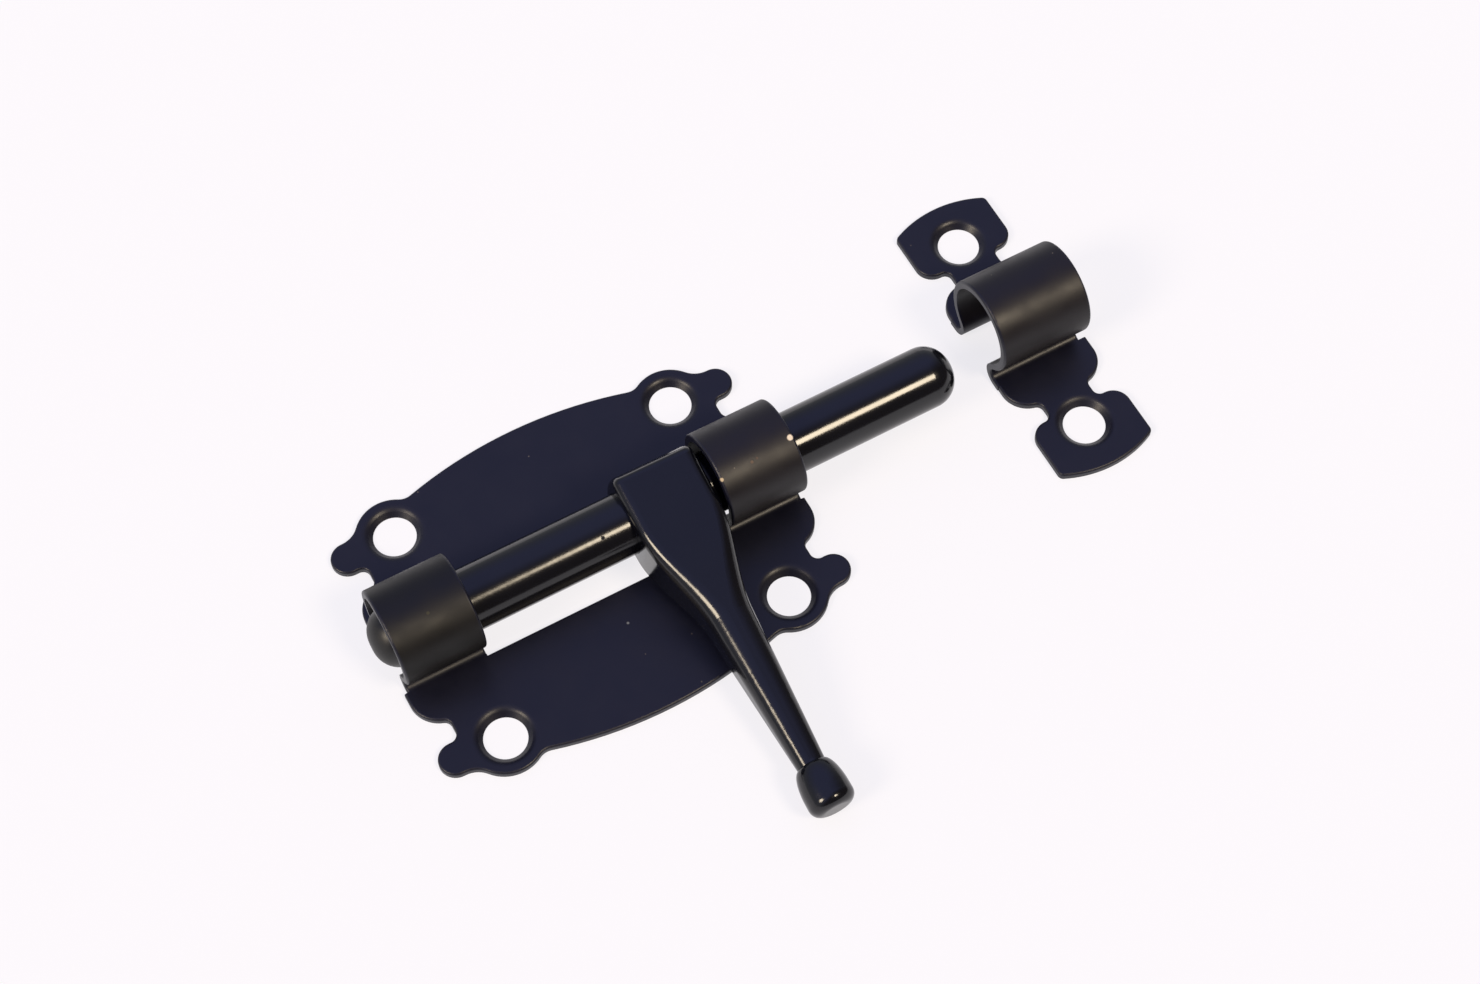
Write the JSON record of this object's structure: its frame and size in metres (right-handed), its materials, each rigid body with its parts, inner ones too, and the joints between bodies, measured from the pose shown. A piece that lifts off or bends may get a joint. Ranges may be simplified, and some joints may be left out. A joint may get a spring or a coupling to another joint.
{
  "type": "door bolt",
  "caption": "Surface door bolt: a lobed sheet plate with rolled loops guides a round bolt with a swinging drop handle, with a matching looped keep.",
  "frame": {"origin": "middle of the plate's four screw holes, on the back face of the sheet, which lies on the door", "axes": "+X along the bolt towards its tip, +Y across the plate away from the handle's side, +Z out from the door"},
  "size_m": [0.125, 0.0851, 0.017],
  "materials": {
    "satin_black_paint": "satin black stoving paint on stamped steel sheet",
    "gloss_black_enamel": "glossy black enamel on a turned bar and a casting"
  },
  "bodies": {
    "plate": {"back_plate": "satin_black_paint", "keep": "satin_black_paint"},
    "rod": {"bolt_rod": "gloss_black_enamel"},
    "handle": {"handle": "gloss_black_enamel"}
  },
  "joints": [
    {"name": "bolt_slide", "type": "slide", "parent": "plate", "child": "rod", "axis": [1, 0, 0], "range_m": [-0.0268, 0.0006]},
    {"name": "handle_turn", "type": "hinge", "parent": "rod", "child": "handle", "pos_m": [0.0131, 0, 0.0085], "axis": [-1, 0, 0], "range_deg": [0, 190]}
  ]
}
